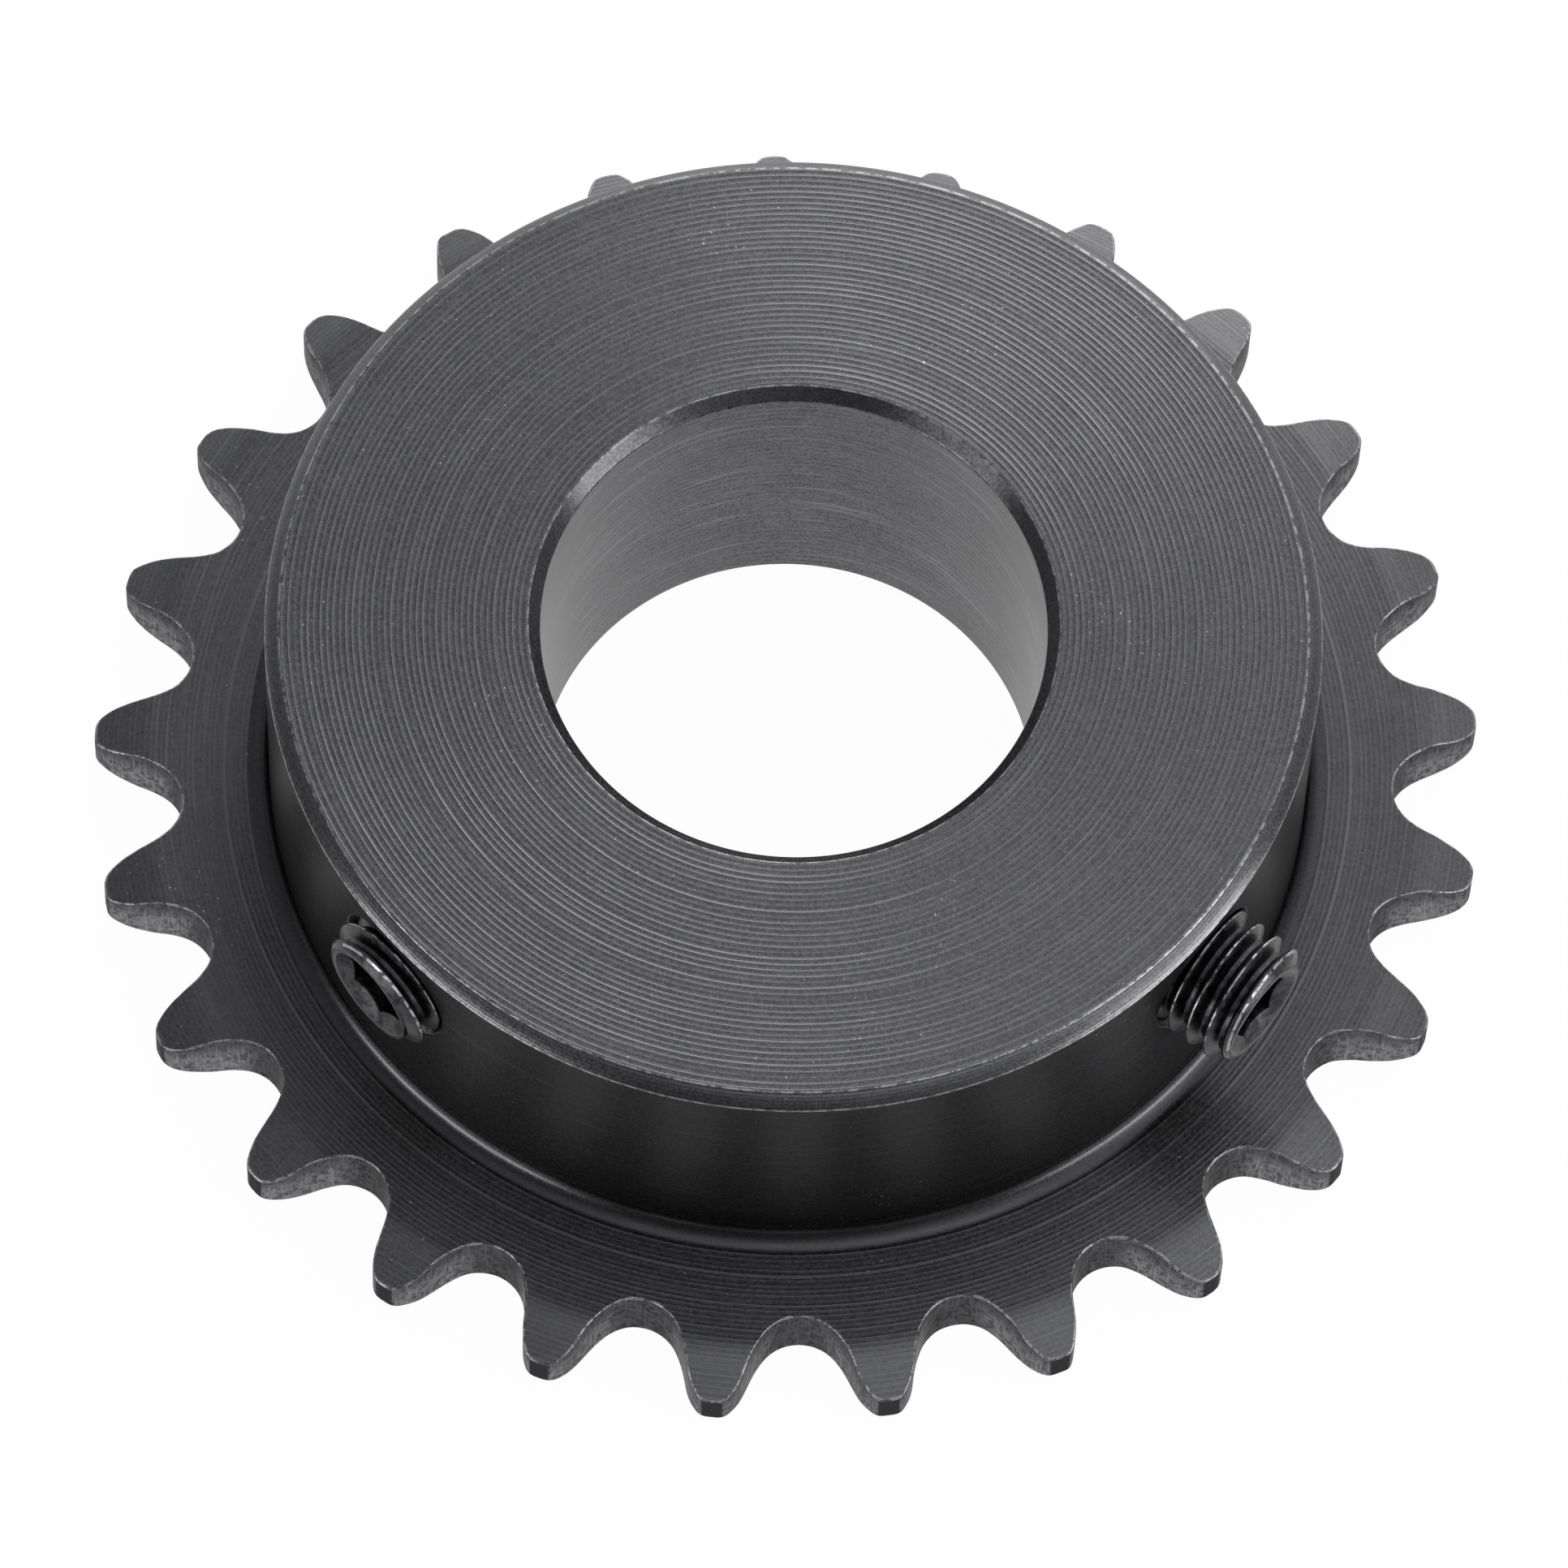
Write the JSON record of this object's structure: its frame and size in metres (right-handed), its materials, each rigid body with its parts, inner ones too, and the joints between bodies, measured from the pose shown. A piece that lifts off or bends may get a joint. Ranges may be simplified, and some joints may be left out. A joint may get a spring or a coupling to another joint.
{
  "type": "chain sprocket",
  "caption": "Flat toothed disc for a roller chain, with a thick round hub on one side, a plain bore and set screws in the hub's wall.",
  "frame": {"origin": "on the bore's axis, in the plane of the plate's back face", "axes": "+Z along the bore's axis, from the toothed plate to the hub's end. A gap between two teeth and the middle of the two set screws face -Y."},
  "size_m": [0.081, 0.0809, 0.0223],
  "materials": {
    "black_oxide_steel": "turned and blackened, with fine lathe grooves",
    "set_screw_steel": "smooth black oxide"
  },
  "bodies": {
    "root": {"sprocket": "black_oxide_steel", "set_screws": "set_screw_steel"}
  },
  "joints": []
}
